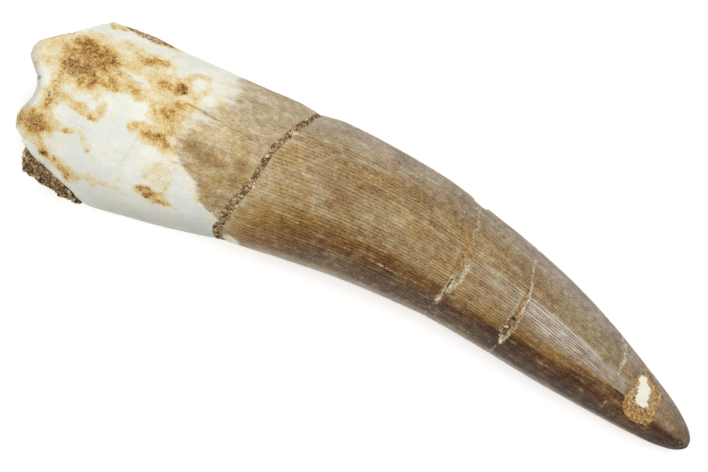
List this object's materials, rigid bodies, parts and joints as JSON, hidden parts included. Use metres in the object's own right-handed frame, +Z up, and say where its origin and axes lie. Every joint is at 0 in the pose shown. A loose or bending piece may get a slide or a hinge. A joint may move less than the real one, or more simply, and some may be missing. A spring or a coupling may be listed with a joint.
{
  "type": "fossil plesiosaur tooth",
  "caption": "Curved conical fossil tooth lying on its side: pale broken root with a sandy core, sand-filled break, and a brown ridged crown with cracks and a chipped tip. For display or study.",
  "frame": {"origin": "middle of the tooth's box, on the surface that it rests on", "axes": "+X from the broken root to the tip along the chord, +Y towards the convex side of the curve, +Z up"},
  "size_m": [0.0546, 0.0138, 0.0102],
  "materials": {
    "tooth": "fossil enamel, brown with fine ridges and a satin gloss, over a matt cream root stained ochre",
    "matrix": "coarse grey-brown sandy rock",
    "sand": "cemented sand with tan, rust, dark and pale grains"
  },
  "bodies": {
    "root": {"tooth": "tooth", "root_matrix_core": "matrix", "break_sand": "sand"}
  },
  "joints": []
}
